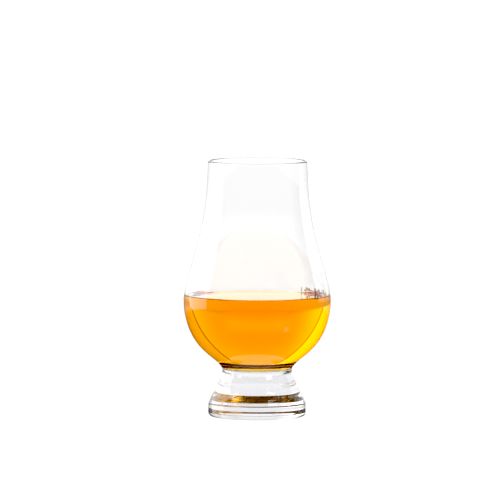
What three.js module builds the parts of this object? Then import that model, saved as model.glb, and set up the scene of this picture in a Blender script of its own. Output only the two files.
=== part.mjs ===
// A measure of neat whisky in a tulip-shaped nosing glass that stands on a short, heavy foot.
//
// The glass is one piece: a thin bowl, which narrows to a straight chimney at the mouth, on a solid
// foot that flares below a tight neck. The whisky fills the bowl to its widest part and climbs the
// wall a little way at its edge, as a liquid that wets glass does.
//
// Millimetres, +Z up. The origin is the middle of the ring that the foot stands on.

import * as THREE from "three";

// Driving dimensions of the glass
const HEIGHT = 115;
const RIM_RADIUS = 22.35;
const BOWL_RADIUS = 33.15;
const BOWL_HEIGHT = 52.5; // of the widest part, above the table
const NECK_RADIUS = 15.6;
const NECK_HEIGHT = 21;
const FOOT_RADIUS = 22;
const RIM_WALL = 1.15;
const BOWL_WALL = 1.5;
const BOWL_FLOOR = 19.4; // top of the solid glass under the drink

// The foot's underside: a flat ring to stand on, round a shallow domed hollow
const FOOT_EDGE = 2.15; // radius of the rounded bottom edge
const HOLLOW_RADIUS = 18.3;
const HOLLOW_DEPTH = 0.85;

// The drink
const LEVEL = 53.8;
const WALL_GAP = 0.3; // kept between the drink and the glass
const MENISCUS_HEIGHT = 1;
const MENISCUS_REACH = 1.1; // over which the raised edge dies away

// Fineness of the facets
const SEGMENTS = 48;
const OUTER_STEPS = 34;
const INNER_STEPS = 26;
const ARC_STEPS = 4;
const SURFACE_STEPS = 8;

const point = (radius, height) => new THREE.Vector2(radius, height);

// A smooth curve through stations of radius and height, as points.
function smooth(stations, steps) {
  const curve = new THREE.SplineCurve(stations.map(([r, z]) => point(r, z)));
  return curve.getPoints(steps);
}

// An arc about a centre, between two angles measured from the outward direction.
function arc(centre, radius, from, to, steps) {
  return Array.from({ length: steps + 1 }, (_, i) => {
    const angle = from + ((to - from) * i) / steps;
    return point(
      centre.x + radius * Math.cos(angle),
      centre.y + radius * Math.sin(angle),
    );
  });
}

// The outside, from the foot's bottom edge, in through the neck, over the bowl's round belly and up
// the chimney to the rim.
function outerWall() {
  const rimTop = HEIGHT - RIM_WALL / 2;
  const stations = [
    [FOOT_RADIUS, FOOT_EDGE],
    [21.9, 4.5],
    [21.2, 7.5],
    [19.4, 11],
    [17.4, 16],
    [NECK_RADIUS, NECK_HEIGHT],
    [16.8, 23.3],
    [20.4, 26.5],
    [25.3, 30.9],
    [29.6, 37],
    [32.2, 44],
    [BOWL_RADIUS, BOWL_HEIGHT],
    [30.9, 64],
    [28, 74],
    [25.5, 84],
    [23.8, 94],
    [22.9, 104],
    [RIM_RADIUS, rimTop],
  ];
  return smooth(stations, OUTER_STEPS);
}

// The inside, from the rim down to the middle of the bowl's floor. The wall thickens downwards.
function innerWall() {
  const rimTop = HEIGHT - RIM_WALL / 2;
  const stations = [
    [RIM_RADIUS - RIM_WALL, rimTop],
    [21.7, 104],
    [22.6, 94],
    [24.2, 84],
    [26.6, 74],
    [29.4, 64],
    [BOWL_RADIUS - BOWL_WALL, BOWL_HEIGHT],
    [30.55, 44],
    [27.5, 37],
    [22.6, 30.6],
    [16.6, 25],
    [10.6, 21.1],
    [5.2, 19.7],
    [0, BOWL_FLOOR],
  ];
  return smooth(stations, INNER_STEPS);
}

// The underside, from the axis out to the rounded bottom edge.
function underside() {
  const dome = Array.from({ length: ARC_STEPS + 1 }, (_, i) => {
    const share = i / ARC_STEPS;
    return point(HOLLOW_RADIUS * share, HOLLOW_DEPTH * (1 - share * share));
  });
  const edgeCentre = point(FOOT_RADIUS - FOOT_EDGE, FOOT_EDGE);
  return [...dome, ...arc(edgeCentre, FOOT_EDGE, -Math.PI / 2, 0, ARC_STEPS)];
}

// The rounded lip of the mouth, from the outside over to the inside.
function rim() {
  const centre = point(RIM_RADIUS - RIM_WALL / 2, HEIGHT - RIM_WALL / 2);
  return arc(centre, RIM_WALL / 2, 0, Math.PI, ARC_STEPS);
}

// The height of the drink's surface at a distance from the wall that it wets.
const surfaceHeight = (fromWall) =>
  LEVEL + MENISCUS_HEIGHT * Math.exp(-fromWall / MENISCUS_REACH);

// The drink's outline: up the inside of the bowl, clear of the glass, and in over its surface.
function drinkOutline() {
  const wall = innerWall().reverse();
  const top = LEVEL + MENISCUS_HEIGHT;
  const wetted = [point(0, BOWL_FLOOR + WALL_GAP)];
  for (let i = 1; i < wall.length && wall[i].y < top; i++) {
    const along = wall[i + 1].clone().sub(wall[i - 1]).normalize();
    const inward = point(-along.y, along.x);
    wetted.push(wall[i].clone().addScaledVector(inward, WALL_GAP));
  }
  const above = wall.findIndex((p) => p.y >= top);
  const share = (top - wall[above - 1].y) / (wall[above].y - wall[above - 1].y);
  const edge = wall[above - 1].clone().lerp(wall[above], share);
  edge.x -= WALL_GAP;
  const surface = Array.from({ length: SURFACE_STEPS + 1 }, (_, i) => {
    const radius = edge.x * (1 - (i / SURFACE_STEPS) ** 2.4);
    return point(radius, surfaceHeight(edge.x - radius));
  });
  return [...wetted.filter((p) => p.y < surface[0].y - 0.4), ...surface];
}

// A closed body of revolution about the vertical axis, from an outline that starts and ends on it.
function turned(outline) {
  const distinct = outline.filter(
    (p, i) => i === 0 || p.distanceTo(outline[i - 1]) > 1e-3,
  );
  distinct[0].x = 0;
  distinct[distinct.length - 1].x = 0;
  return new THREE.LatheGeometry(distinct, SEGMENTS).rotateX(Math.PI / 2);
}

function piece(name, geometry, material) {
  const mesh = new THREE.Mesh(geometry, material);
  mesh.name = name;
  return mesh;
}

const clearGlass = new THREE.MeshStandardMaterial({
  color: "#eef2f3",
  roughness: 0.05,
  metalness: 0,
  transparent: true,
  opacity: 0.35,
});

const amberSpirit = new THREE.MeshStandardMaterial({
  color: "#ff9e12",
  roughness: 0.05,
  metalness: 0,
  transparent: true,
  opacity: 0.85,
});

const glassOutline = [
  ...underside(),
  ...outerWall(),
  ...rim(),
  ...innerWall(),
];

const drink = new THREE.Group();
drink.add(piece("glass", turned(glassOutline), clearGlass));
drink.add(piece("whisky", turned(drinkOutline()), amberSpirit));

export default drink;
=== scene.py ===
# A measure of neat whisky in a tulip-shaped nosing glass on a short, heavy foot.
#
# The glass and the drink are shapes turned about one upright axis. Both profiles are worked out
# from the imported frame's height and width and from the stations of the glass's outline.
import math

import bpy
import numpy as np
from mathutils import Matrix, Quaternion, Vector


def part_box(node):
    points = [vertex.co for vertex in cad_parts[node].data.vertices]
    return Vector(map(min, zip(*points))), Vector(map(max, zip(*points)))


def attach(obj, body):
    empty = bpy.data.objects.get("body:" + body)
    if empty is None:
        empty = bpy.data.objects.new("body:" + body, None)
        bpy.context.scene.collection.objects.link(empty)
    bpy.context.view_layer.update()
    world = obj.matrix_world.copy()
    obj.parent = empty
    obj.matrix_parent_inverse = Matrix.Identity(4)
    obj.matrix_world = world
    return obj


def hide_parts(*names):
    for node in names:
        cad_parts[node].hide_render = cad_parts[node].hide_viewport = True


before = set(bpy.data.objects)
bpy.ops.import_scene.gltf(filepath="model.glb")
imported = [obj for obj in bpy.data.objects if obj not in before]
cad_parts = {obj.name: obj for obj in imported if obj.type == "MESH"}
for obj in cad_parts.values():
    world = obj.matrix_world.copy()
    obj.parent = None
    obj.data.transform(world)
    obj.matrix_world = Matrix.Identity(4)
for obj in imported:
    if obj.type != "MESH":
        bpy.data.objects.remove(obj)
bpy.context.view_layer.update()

# Sizes of the glass, in metres
MM = 0.001
low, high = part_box("glass")
HEIGHT = high[2] - low[2]
BOWL_RADIUS = (high[0] - low[0]) / 2
BOWL_HEIGHT = 52.5 * MM  # of the widest part, above the table
RIM_RADIUS = 22.35 * MM
NECK_RADIUS = 15.6 * MM
NECK_HEIGHT = 21 * MM
FOOT_RADIUS = 22 * MM
RIM_WALL = 1.15 * MM
BOWL_WALL = 1.5 * MM
BOWL_FLOOR = 19.4 * MM  # top of the solid glass under the drink
FOOT_EDGE = 2.15 * MM  # radius of the rounded bottom edge
HOLLOW_RADIUS = 18.3 * MM
HOLLOW_DEPTH = 0.85 * MM

# The drink
LEVEL = 53.8 * MM
MENISCUS_HEIGHT = 1.0 * MM
MENISCUS_REACH = 1.1 * MM  # over which the raised edge dies away
WETTING = 0.06 * MM  # by which the drink overlaps the glass that it wets

# Fineness of the meshes
TURNS = 144
STEP = 0.45 * MM
ARC_STEP = STEP / 3
TOUCHING = 1e-7  # points nearer than this are one point
SURFACE_POINTS = 120
SURFACE_CROWDING = 1.6  # above 1, the points of the drink's surface crowd towards its edge


def smooth(stations):
    """A cubic spline through (r, z) stations whose curvature never jumps, one point each step.

    With t the length along the chords, each span is the cubic that meets its stations and whose
    second derivatives M solve M[i-1] h[i-1] + 2 M[i] (h[i-1] + h[i]) + M[i+1] h[i] = 6 (slope
    change at i), with M = 0 at both ends.
    """
    points = np.array(stations, float)
    spans = np.linalg.norm(np.diff(points, axis=0), axis=1)
    knots = np.concatenate([[0], np.cumsum(spans)])
    count = len(points)
    matrix = np.eye(count)
    right = np.zeros((count, 2))
    slopes = np.diff(points, axis=0) / spans[:, None]
    inner = np.arange(1, count - 1)
    matrix[inner, inner - 1] = spans[:-1]
    matrix[inner, inner] = 2 * (spans[:-1] + spans[1:])
    matrix[inner, inner + 1] = spans[1:]
    right[inner] = 6 * np.diff(slopes, axis=0)
    bend = np.linalg.solve(matrix, right)
    t = np.linspace(0, knots[-1], max(2, round(knots[-1] / STEP)))
    i = np.clip(np.searchsorted(knots, t, side="right") - 1, 0, count - 2)
    h = spans[i][:, None]
    after = (t - knots[i])[:, None]
    before = h - after
    return (
        (bend[i] * before**3 + bend[i + 1] * after**3) / (6 * h)
        + (points[i] / h - bend[i] * h / 6) * before
        + (points[i + 1] / h - bend[i + 1] * h / 6) * after
    )


def arc(centre, radius, start, end):
    """Points (r, z) = centre + radius (cos a, sin a), with a from start to end in degrees."""
    sweep = math.radians(end - start)
    count = max(3, round(abs(sweep) * radius / ARC_STEP))
    a = np.linspace(math.radians(start), math.radians(end), count)
    return np.stack([centre[0] + radius * np.cos(a), centre[1] + radius * np.sin(a)], 1)


def joined(*parts):
    """One outline from several, with a point that ends one part and starts the next kept once."""
    points = np.concatenate(parts)
    gaps = np.linalg.norm(np.diff(points, axis=0), axis=1)
    return points[np.concatenate([[True], gaps > TOUCHING])]


def closed_faces(rows, columns):
    """Faces over rows of points, each row closed on itself, with a pole past each end.

    The points are numbered row by row. After them come the pole before the first row and the one
    after the last row.
    """
    index = np.arange(rows * columns).reshape(rows, columns)
    beside = np.roll(index, -1, axis=1)
    quads = np.stack([index[:-1], beside[:-1], beside[1:], index[1:]], 2).reshape(-1, 4)
    start, end = rows * columns, rows * columns + 1
    first = np.stack([np.full(columns, start), beside[0], index[0]], 1)
    last = np.stack([np.full(columns, end), index[-1], beside[-1]], 1)
    return quads, first, last


def add_piece(name, vertices, faces):
    """A smooth piece whose place is in its mesh, from its points and its faces."""
    mesh = bpy.data.meshes.new(name)
    mesh.from_pydata(vertices, [], faces)
    mesh.shade_smooth()
    piece = bpy.data.objects.new(name, mesh)
    bpy.context.scene.collection.objects.link(piece)
    return piece


def turned(name, outline):
    """A closed surface of revolution, with its faces outwards.

    A vertex is (r cos a, r sin a, z) for each point (r, z) of the outline and each angle
    a = 2 pi k / turns. The outline runs from one pole to the other, and each pole is one vertex.
    """
    r, z = outline[1:-1, 0], outline[1:-1, 1]
    a = 2 * np.pi * np.arange(TURNS) / TURNS
    ring = np.stack([np.outer(r, np.cos(a)), np.outer(r, np.sin(a)), np.outer(z, np.ones(TURNS))], 2)
    poles = [[0, 0, outline[0, 1]], [0, 0, outline[-1, 1]]]
    vertices = np.concatenate([ring.reshape(-1, 3), poles])
    quads, first, last = closed_faces(len(r), TURNS)
    return add_piece(name, vertices, quads.tolist() + first.tolist() + last.tolist())


# Profiles
rim_top = HEIGHT - RIM_WALL / 2


def millimetres(*stations):
    """Stations in metres, from (r, z) in millimetres."""
    return [(r * MM, z * MM) for r, z in stations]


def outer_side():
    """From the edge of the foot, through the neck and the widest part, up to the rim."""
    return smooth(
        [(FOOT_RADIUS, FOOT_EDGE)]
        + millimetres((21.9, 4.5), (21.83, 6), (21.2, 7.5), (20.6, 9), (19.4, 11))
        + millimetres((18.33, 13.5), (17.4, 16), (16.45, 18.5))
        + [(NECK_RADIUS, NECK_HEIGHT)]
        + millimetres((16.8, 23.3), (20.4, 26.5), (25.3, 30.9), (29.6, 37), (32.2, 44))
        + [(BOWL_RADIUS, BOWL_HEIGHT)]
        + millimetres((30.9, 64), (28, 74), (25.5, 84), (23.8, 94), (22.9, 104))
        + [(RIM_RADIUS, rim_top)]
    )


def inner_side():
    """From the rim down the inside of the bowl to the middle of its floor."""
    return smooth(
        [(RIM_RADIUS - RIM_WALL, rim_top)]
        + millimetres((21.7, 104), (22.6, 94), (24.2, 84), (26.6, 74), (29.4, 64))
        + [(BOWL_RADIUS - BOWL_WALL, BOWL_HEIGHT)]
        + millimetres((30.55, 44), (27.5, 37), (22.6, 30.6), (16.6, 25), (10.6, 21.1), (5.2, 19.7))
        + [(0, BOWL_FLOOR)]
    )


def bowl_radius(height):
    """The radius of the bowl's inside at a height above its rounded floor."""
    wall = inner_side()[::-1]
    upper = wall[wall[:, 1] > NECK_HEIGHT]
    return np.interp(height, upper[:, 1], upper[:, 0])


def underside():
    """A shallow dome z = depth (1 - (r / radius)^2), then a flat ring and its rounded edge."""
    r = np.linspace(0, HOLLOW_RADIUS, round(HOLLOW_RADIUS / STEP))
    dome = np.stack([r, HOLLOW_DEPTH * (1 - (r / HOLLOW_RADIUS) ** 2)], 1)
    ring = np.array([[HOLLOW_RADIUS, 0], [FOOT_RADIUS - FOOT_EDGE, 0]])
    return joined(dome, ring, arc((FOOT_RADIUS - FOOT_EDGE, FOOT_EDGE), FOOT_EDGE, -90, 0))


def glass_outline():
    """Round the glass from the middle of its underside, over the rim, to the bowl's floor."""
    outer = outer_side()
    outer[:, 0] = np.minimum(outer[:, 0], BOWL_RADIUS)
    rim = arc((RIM_RADIUS - RIM_WALL / 2, rim_top), RIM_WALL / 2, 0, 180)
    return joined(underside(), outer, rim, inner_side())


def drink_outline():
    """The inner wall up to the drink's edge, then z = level + height e^(-d / reach) inwards."""
    wall = inner_side()[::-1]
    edge = LEVEL + MENISCUS_HEIGHT
    below = wall[wall[:, 1] < edge]
    slope = np.gradient(below, axis=0)
    slope /= np.linalg.norm(slope, axis=1)[:, None]
    below = below + WETTING * np.stack([slope[:, 1], -slope[:, 0]], 1)
    below[0, 0] = 0
    edge_radius = bowl_radius(edge) + WETTING
    share = np.linspace(0, 1, SURFACE_POINTS)[1:]
    r = edge_radius * (1 - share**SURFACE_CROWDING)
    z = LEVEL + MENISCUS_HEIGHT * np.exp(-(edge_radius - r) / MENISCUS_REACH)
    return joined(below, [[edge_radius, edge]], np.stack([r, z], 1))


# Shader maths and nodes
class Value:
    """A shader socket in an expression: an operator adds the Math node that works it out."""

    def __init__(self, socket):
        self.socket = socket

    def math(self, operation, *others, flipped=False):
        """A Math node on this value and the others, in that order or flipped."""
        tree = self.socket.id_data
        node = tree.nodes.new("ShaderNodeMath")
        node.operation = operation
        terms = [self, *others]
        if flipped:
            terms.reverse()
        for socket, term in zip(node.inputs, terms):
            if isinstance(term, Value):
                tree.links.new(term.socket, socket)
            else:
                socket.default_value = term
        return Value(node.outputs[0])

    def __add__(self, other):
        return self.math("ADD", other)

    def __radd__(self, other):
        return self.math("ADD", other, flipped=True)

    def __sub__(self, other):
        return self.math("SUBTRACT", other)

    def __rsub__(self, other):
        return self.math("SUBTRACT", other, flipped=True)

    def __mul__(self, other):
        return self.math("MULTIPLY", other)

    def __rmul__(self, other):
        return self.math("MULTIPLY", other, flipped=True)

    def length(self, other):
        """The distance from zero of the two values taken as one vector."""
        return (self * self + other * other).math("SQRT")

    def rise(self, at, soft):
        """0 below a place and 1 above it, with a smooth step of that half width."""
        nodes = Nodes(self.socket.id_data)
        return nodes.value(
            "ShaderNodeMapRange",
            {"interpolation_type": "SMOOTHSTEP"},
            Value=self,
            From_Min=at - soft,
            From_Max=at + soft,
        )

    def between(self, start, end, soft):
        """1 from start to end and 0 outside, with smooth steps of that half width."""
        return self.rise(start, soft) * (1 - self.rise(end, soft))


class Nodes:
    """A node tree to which nodes are added one call at a time."""

    def __init__(self, tree):
        self.tree = tree

    def node(self, kind, settings=(), **sockets):
        """A node of that type with its settings and then its sockets, as values or links."""
        made = self.tree.nodes.new(kind)
        for key, value in dict(settings).items():
            setattr(made, key, value)
        for key, value in sockets.items():
            socket = made.inputs[key.replace("_", " ")]
            if isinstance(value, Value):
                self.tree.links.new(value.socket, socket)
            elif isinstance(value, bpy.types.NodeSocket):
                self.tree.links.new(value, socket)
            else:
                socket.default_value = value
        return made

    def value(self, kind, settings=(), output=0, **sockets):
        """One output of a new node, as a value for expressions."""
        return Value(self.node(kind, settings, **sockets).outputs[output])

    def split(self, vector):
        """The x, y and z of a vector socket, as values."""
        parts = self.node("ShaderNodeSeparateXYZ", Vector=vector)
        return [Value(part) for part in parts.outputs]

    def place(self):
        """The piece's own coordinates, in metres."""
        return self.node("ShaderNodeTexCoord").outputs["Object"]

    def noise(self, scale, detail=2.0):
        """Noise from 0 to 1 with that many features to a metre."""
        return self.value(
            "ShaderNodeTexNoise",
            output="Fac",
            Vector=self.place(),
            Scale=scale,
            Detail=detail,
        )

    def blend(self, mark, plain, marked):
        """One shader where a face's mark is 0 and another where it is 1."""
        share = self.node("ShaderNodeAttribute", {"attribute_name": mark}).outputs["Fac"]
        mixed = self.node("ShaderNodeMixShader", Fac=share)
        self.tree.links.new(plain.outputs[0], mixed.inputs[1])
        self.tree.links.new(marked.outputs[0], mixed.inputs[2])
        return mixed

    def end(self, kind, surface, volume=None):
        """The output node, fed by a shader for the surface and one for the inside."""
        output = self.node(kind, Surface=surface.outputs[0])
        if volume:
            self.tree.links.new(volume.outputs[0], output.inputs["Volume"])


def empty_material(name):
    """A material and its node tree, with nothing in it yet."""
    material = bpy.data.materials.new(name)
    material.use_nodes = True
    material.node_tree.nodes.clear()
    return material, Nodes(material.node_tree)


# How each material bends light, and what it takes from it: (1 - colour) times density, to a metre
GLASS_IOR = 1.52
GLASS_COLOUR = (0.93, 0.93, 0.935, 1)
GLASS_DENSITY = 100.0
SPIRIT_IOR = 1.36
SPIRIT_COLOUR = (1.0, 0.818, 0.03, 1)
SPIRIT_DENSITY = 110.0

# Unevenness: features to a metre, with their height or their share of grey
SKIN_WAVES = 40.0
SKIN_HEIGHT = 0.008 * MM
CLOTH_TRACES = 900.0
CLOTH_GREY = 0.02
RIPPLES = 160.0
RIPPLE_HEIGHT = 0.004 * MM

# Beads of spirit: patches to a metre, and the least red, green and blue with what a patch adds. The
# least colour, a deep amber, is the whisky's own tint deepened as painted shade for the dark
# refraction in the drops
BEAD_PATCHES = 700.0
BEAD_AMBER_AND_SHADE = [(0.8, 0.18), (0.3, 0.5), (0.03, 0.3)]
BEAD_ROUGHNESS = 0.02


def clear_glass():
    """Clear glass with the faint unevenness of a blown bowl and traces of a polishing cloth.

    Against air it bends light as glass does, and where the spirit wets it, by the ratio of the two.
    """
    material, nodes = empty_material("clear_glass")
    waves = nodes.noise(SKIN_WAVES, detail=1.0)
    relief = nodes.node("ShaderNodeBump", Strength=1.0, Distance=SKIN_HEIGHT, Height=waves)
    grey = 1 - CLOTH_GREY * nodes.noise(CLOTH_TRACES, detail=4.0)
    tint = nodes.node("ShaderNodeCombineColor", Red=grey, Green=grey, Blue=grey)
    dry, wet = [
        nodes.node(
            "ShaderNodeBsdfPrincipled",
            Base_Color=tint.outputs[0],
            Roughness=0.0,
            IOR=ior,
            Transmission_Weight=1.0,
            Normal=relief.outputs[0],
        )
        for ior in (GLASS_IOR, GLASS_IOR / SPIRIT_IOR)
    ]
    depth = nodes.node("ShaderNodeVolumeAbsorption", Color=GLASS_COLOUR, Density=GLASS_DENSITY)
    nodes.end("ShaderNodeOutputMaterial", nodes.blend("wetted", dry, wet), depth)
    return material


def amber_spirit():
    """Whisky, which takes blue and some green from the light in proportion to its depth.

    Its free surface bends and mirrors light. Where it touches the glass, the glass's own wetted
    surface does so, and the spirit lets light straight through.
    """
    material, nodes = empty_material("amber_spirit")
    ripples = nodes.noise(RIPPLES)
    relief = nodes.node("ShaderNodeBump", Strength=1.0, Distance=RIPPLE_HEIGHT, Height=ripples)
    free = nodes.node(
        "ShaderNodeBsdfPrincipled",
        Base_Color=(1, 1, 1, 1),
        Roughness=0.0,
        IOR=SPIRIT_IOR,
        Transmission_Weight=1.0,
        Normal=relief.outputs[0],
    )
    wetting = nodes.node(
        "ShaderNodeBsdfPrincipled",
        Base_Color=(1, 1, 1, 1),
        Roughness=0.0,
        IOR=1.0,
        Transmission_Weight=1.0,
    )
    depth = nodes.node("ShaderNodeVolumeAbsorption", Color=SPIRIT_COLOUR, Density=SPIRIT_DENSITY)
    nodes.end("ShaderNodeOutputMaterial", nodes.blend("against_glass", free, wetting), depth)
    return material


def spirit_beads():
    """Beads of whisky, from deep amber to pale in soft patches. The amber is the whisky's own colour,
    and its depth is painted shade for the dark refraction in the drops.
    """
    material, nodes = empty_material("spirit_beads")
    patches = nodes.noise(BEAD_PATCHES)
    # painted shade: the deep amber floor of these colours stands for the drops' dark refraction
    red, green, blue = [least + added * patches for least, added in BEAD_AMBER_AND_SHADE]
    tint = nodes.node("ShaderNodeCombineColor", Red=red, Green=green, Blue=blue)
    shader = nodes.node(
        "ShaderNodeBsdfPrincipled",
        Base_Color=tint.outputs[0],
        Roughness=BEAD_ROUGHNESS,
        IOR=SPIRIT_IOR,
        Transmission_Weight=1.0,
    )
    nodes.end("ShaderNodeOutputMaterial", shader)
    return material


# The glass and its drink, whose faces are told apart by their height and by their normal
ALONG_THE_AXIS = 1e-9
STEEPEST_OVERHANG = -0.2
LEAST_UPWARDS = 0.4
SURFACE_MARGIN = 1 * MM


def mark_faces(piece, name, marked):
    """Stores on each face whether it is marked, as 1 or 0, for the materials to read."""
    layer = piece.data.attributes.new(name, "FLOAT", "FACE")
    layer.data.foreach_set("value", marked.astype(np.float32))


def face_array(piece, what):
    """The centres or the normals of a piece's faces, one row a face."""
    values = np.empty(3 * len(piece.data.polygons))
    piece.data.polygons.foreach_get(what, values)
    return values.reshape(-1, 3)


def wetted(piece):
    """True for each face that the drink lies against: inside the bowl and below its edge."""
    centre, normal = face_array(piece, "center"), face_array(piece, "normal")
    inwards = (centre[:, :2] * normal[:, :2]).sum(1) < ALONG_THE_AXIS
    height = centre[:, 2]
    below_edge = (height > NECK_HEIGHT) & (height < LEVEL + MENISCUS_HEIGHT)
    return inwards & below_edge & (normal[:, 2] > STEEPEST_OVERHANG)


def free_surface(piece):
    """True for each face of the drink that lies in the air: at its level and facing up."""
    upwards = face_array(piece, "normal")[:, 2] > LEAST_UPWARDS
    return upwards & (face_array(piece, "center")[:, 2] > LEVEL - SURFACE_MARGIN)


glass = turned("nosing_glass", glass_outline())
mark_faces(glass, "wetted", wetted(glass))
glass.data.materials.append(clear_glass())
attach(glass, "root")
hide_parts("glass")

whisky = turned("whisky_measure", drink_outline())
mark_faces(whisky, "against_glass", ~free_surface(whisky))
whisky.data.materials.append(amber_spirit())
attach(whisky, "root")
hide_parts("whisky")

# Groups of drops: how many, then ranges of angle in degrees from +X, height and size in mm
DROP_GROUPS = [
    (56, (2, 50), (54.6, 56.0), (0.25, 0.5)),
    (44, (-9, 9), (55, 66), (0.15, 0.4)),
    (44, (-52, -8), (54.4, 55.2), (0.15, 0.4)),
    (14, (160, 205), (54.6, 55.2), (0.12, 0.3)),
]
DROP_STRETCH = (0.8, 1.7)  # height for a width of 1
DROP_DEPTH = 0.42  # for a size of 1
DROP_BACK = 0.05 * MM  # into the glass
DROP_SIDES = 8
DROP_SEED = 7

# Rings of a drop: how far out each one lies, and whether it is on the dome or on the flat back
DROP_RINGS = [(0.4, 1), (0.75, 1), (1.0, 1), (1.0, 0)]


def spirit_drops(name):
    """Drops that the swirled spirit left on the glass above its surface, as one mesh.

    Each drop is a dome on the inner wall. Across it, u runs from 0 in the middle to 1 at the edge and
    v round it, so a point lies u size (cos v, stretch sin v) along the wall and up it, and
    depth (1 - u^2) in from the wall. A flat back, a little way into the glass, closes it.
    """
    rng = np.random.default_rng(DROP_SEED)
    count = sum(group[0] for group in DROP_GROUPS)
    angle, height, size = [
        np.concatenate([rng.uniform(*group[k], group[0]) for group in DROP_GROUPS])[:, None, None]
        for k in (1, 2, 3)
    ]
    angle, height, size = np.radians(angle), height * MM, size * MM
    stretch = rng.uniform(*DROP_STRETCH, (count, 1, 1))
    depth = DROP_DEPTH * size
    u, dome = np.array(DROP_RINGS).T[:, None, :, None]
    v = 2 * np.pi * np.arange(DROP_SIDES) / DROP_SIDES
    z = height + u * size * stretch * np.sin(v)
    radius = bowl_radius(z) + DROP_BACK - dome * (DROP_BACK + depth * (1 - u**2))
    a = angle + u * size * np.cos(v) / radius
    rings = np.stack([radius * np.cos(a), radius * np.sin(a), z], 3)
    middle = bowl_radius(height)
    r = np.concatenate([middle - depth, middle + DROP_BACK], 2)
    poles = np.stack([r * np.cos(angle), r * np.sin(angle), np.broadcast_to(height, r.shape)], 3)
    vertices = np.concatenate([rings.reshape(count, -1, 3), poles[:, 0]], 1)
    first_point = vertices.shape[1] * np.arange(count)[:, None, None]
    faces = []
    for part in closed_faces(len(DROP_RINGS), DROP_SIDES):
        faces += (part + first_point).reshape(-1, part.shape[1]).tolist()
    return add_piece(name, vertices.reshape(-1, 3), faces)


drops = spirit_drops("spirit_drops")
drops.data.materials.append(spirit_beads())
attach(drops, "root")

# The studio: light comes from the walls round the table and from the table itself
WHITE = 1.08  # of the table and the walls, as the camera itself sees them
DARK = 0.003  # of the gaps, and of all that no wall or lamp fills
FLOOR_RADIUS = 30.0
FLOOR_DROP = 0.4 * MM  # below the foot, so that the two don't touch
FLOOR_POINTS = 96

# The table's light: near the glass, then steps of what is added, how far out and over what width
TABLE_NEAR = 1.25
TABLE_STEPS = [(-0.15, 60 * MM, 8 * MM), (0.03, 0.5, 0.2), (-0.06, 1.08, 0.1)]

# The walls' light by azimuth, to the right of straight back, and by height, both in degrees. A step
# is where it lies and its softness. A span is where it starts, where it ends and its softness.
WALL_SPAN = (-9, 78, 2)
PANEL_EDGE = 43  # azimuth of the inner edges of the side panels, at the table's height
PANEL_LEAN = 0.75  # by which they close in, for each degree of height
EDGE_SOFTNESS = 0.6
GAP = 1.2  # dark, between the back wall and a side panel
SIDE_TOP = (50, 2)
BACK_LEVEL = 1.15
BACK_UPPER = 0.16
BACK_UPPER_STEP = (20, 6)
BACK_GLOW = 0.24
GLOW_ACROSS, GLOW_UP = (-14, 14, 5), (2.5, 8, 2)
BACK_RIGHT = 0.3
BACK_RIGHT_STEP = (28, 12)
BACK_LEFT = 0.96
BACK_LEFT_STEP = (-26, 14)
LEFT_PANEL = 2.7
LEFT_PANEL_STEP = (-93, 1.5)
RIGHT_PANEL = 1.4
RIGHT_PANEL_LOSS = 0.15
RIGHT_PANEL_LOSS_STEP = (4, 3)
RIGHT_PANEL_STEP = (68, 2)
FAR_RIGHT = 0.12
FAR_RIGHT_SPAN = (68, 97, 2)
LOW_LOSS = 0.8
LOW_STEP, LOW_ASIDE_STEP = (-1, 3), (13, 4)
FRONT = 0.3
FRONT_STEP, FRONT_SPAN = (94, 3), (-9, 31, 3)

# Lamps: strength, then spans of azimuth and height. The last one lies below the table's level, so
# only mirror reflections show it, because they don't see the table.
LAMPS = [
    (4.0, (123, 149, 2), (35, 44, 2)),
    (3.2, (-121, -92, 2), (36, 47, 2)),
    (3.2, (121, 127, 6), (-41, -35, 5)),
]


def seen_directly(nodes):
    """1 for what the camera sees itself, and 0 for what glass bends or mirrors."""
    return Value(nodes.node("ShaderNodeLightPath").outputs["Is Camera Ray"])


def table_light():
    """A plain glowing table, a little dimmer away from the glass. The camera itself sees it white."""
    material, nodes = empty_material("pale_floor")
    x, y, _ = nodes.split(nodes.place())
    reach = x.length(y)
    level = TABLE_NEAR + sum(added * reach.rise(at, width) for added, at, width in TABLE_STEPS)
    direct = seen_directly(nodes)
    shown = level * (1 - direct) + WHITE * direct
    colour = nodes.node("ShaderNodeCombineColor", Red=shown, Green=shown, Blue=shown)
    shader = nodes.node("ShaderNodeEmission", Color=colour.outputs[0], Strength=1.0)
    nodes.end("ShaderNodeOutputMaterial", shader)
    return material


def floor_disc():
    """A disc about the glass: a rim of points (R cos a, R sin a) as one face."""
    a = 2 * np.pi * np.arange(FLOOR_POINTS) / FLOOR_POINTS
    height = np.full(FLOOR_POINTS, -FLOOR_DROP)
    ring = np.stack([FLOOR_RADIUS * np.cos(a), FLOOR_RADIUS * np.sin(a), height], 1)
    disc = add_piece("pale_floor", ring, [list(range(FLOOR_POINTS))])
    disc.data.materials.append(table_light())
    disc.visible_glossy = False


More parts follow.
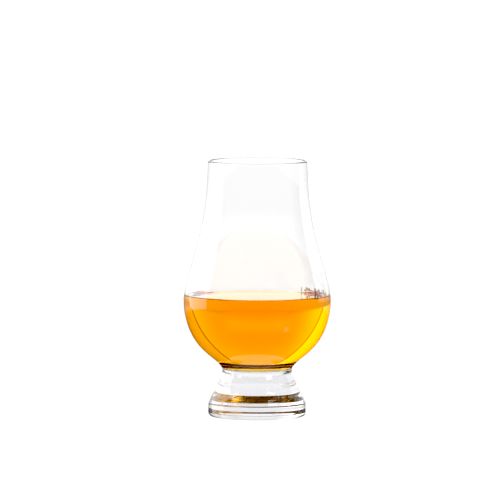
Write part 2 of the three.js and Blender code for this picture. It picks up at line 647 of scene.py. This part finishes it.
def studio_walls():
    """The light by direction, as the glass bends or mirrors it.

    A back wall stands between two side panels, with a dark gap at each of its ends. At a height h the
    panels begin at PANEL_EDGE - PANEL_LEAN h to either side. A step or a span is 0 or 1 with soft
    ends, and each part of the light is its level times its steps and spans. The camera itself sees
    an even white.
    """
    world = bpy.data.worlds.new("studio")
    bpy.context.scene.world = world
    world.use_nodes = True
    world.node_tree.nodes.clear()
    nodes = Nodes(world.node_tree)
    x, y, z = nodes.split(nodes.node("ShaderNodeTexCoord").outputs["Generated"])
    azimuth = x.math("ARCTAN2", y) * (180 / math.pi)
    height = z.math("ARCSINE") * (180 / math.pi)
    aside = azimuth.math("ABSOLUTE")
    above_table = height.between(*WALL_SPAN)
    edge = PANEL_EDGE - PANEL_LEAN * height
    past_left = azimuth + edge
    past_right = azimuth - edge
    inside = past_left.rise(0, EDGE_SOFTNESS) * (1 - past_right.rise(0, EDGE_SOFTNESS))
    back = (
        BACK_LEVEL
        + BACK_UPPER * height.rise(*BACK_UPPER_STEP)
        + BACK_GLOW * height.between(*GLOW_UP) * azimuth.between(*GLOW_ACROSS)
        + BACK_RIGHT * azimuth.rise(*BACK_RIGHT_STEP)
        + BACK_LEFT * (1 - azimuth.rise(*BACK_LEFT_STEP))
    )
    left = LEFT_PANEL * azimuth.rise(*LEFT_PANEL_STEP) * (1 - past_left.rise(-GAP, EDGE_SOFTNESS))
    right = (
        (RIGHT_PANEL - RIGHT_PANEL_LOSS * height.rise(*RIGHT_PANEL_LOSS_STEP))
        * past_right.rise(GAP, EDGE_SOFTNESS)
        * (1 - azimuth.rise(*RIGHT_PANEL_STEP))
    )
    far_right = FAR_RIGHT * azimuth.between(*FAR_RIGHT_SPAN)
    low_down = 1 - LOW_LOSS * (1 - height.rise(*LOW_STEP)) * aside.rise(*LOW_ASIDE_STEP)
    below_top = 1 - height.rise(*SIDE_TOP)
    light = (
        DARK
        + FRONT * aside.rise(*FRONT_STEP) * height.between(*FRONT_SPAN)
        + above_table * low_down * back * inside
        + above_table * below_top * (left + low_down * right + far_right)
    )
    for strength, across, up in LAMPS:
        light = light + strength * azimuth.between(*across) * height.between(*up)
    direct = seen_directly(nodes)
    level = light * (1 - direct) + WHITE * direct
    colour = nodes.node("ShaderNodeCombineColor", Red=level, Green=level, Blue=level)
    glow = nodes.node("ShaderNodeBackground", Color=colour.outputs[0], Strength=1.0)
    nodes.end("ShaderNodeOutputWorld", glow)


floor_disc()
studio_walls()

# The camera
DISTANCE = 4.0
NEAREST = 0.5
FARTHEST = 40.0
VIEW_WIDTH = 224.4 * MM
ELEVATION = math.radians(4.5)
ROLL = math.radians(0.15)
AIM = Vector((-3.3 * MM, 0, 74.8 * MM))

camera = bpy.data.cameras.new("camera")
camera.lens = camera.sensor_width * DISTANCE / VIEW_WIDTH
camera.clip_start, camera.clip_end = NEAREST, FARTHEST
viewer = bpy.data.objects.new("camera", camera)
bpy.context.scene.collection.objects.link(viewer)
back = Vector((0, -math.cos(ELEVATION), math.sin(ELEVATION)))
viewer.location = AIM + DISTANCE * back
viewer.rotation_mode = "QUATERNION"
viewer.rotation_quaternion = (-back).to_track_quat("-Z", "Y") @ Quaternion((0, 0, 1), ROLL)
bpy.context.scene.camera = viewer

# Tone, and how often light may turn inside the glass
BLACK_LEVEL = 0.025
BOUNCES = 32
GLOSSY_BOUNCES = 16

scene = bpy.context.scene
scene.view_settings.view_transform = "Standard"
scene.view_settings.use_curve_mapping = True
scene.view_settings.curve_mapping.black_level = (BLACK_LEVEL, BLACK_LEVEL, BLACK_LEVEL)
scene.cycles.max_bounces = BOUNCES
scene.cycles.transmission_bounces = BOUNCES
scene.cycles.glossy_bounces = GLOSSY_BOUNCES
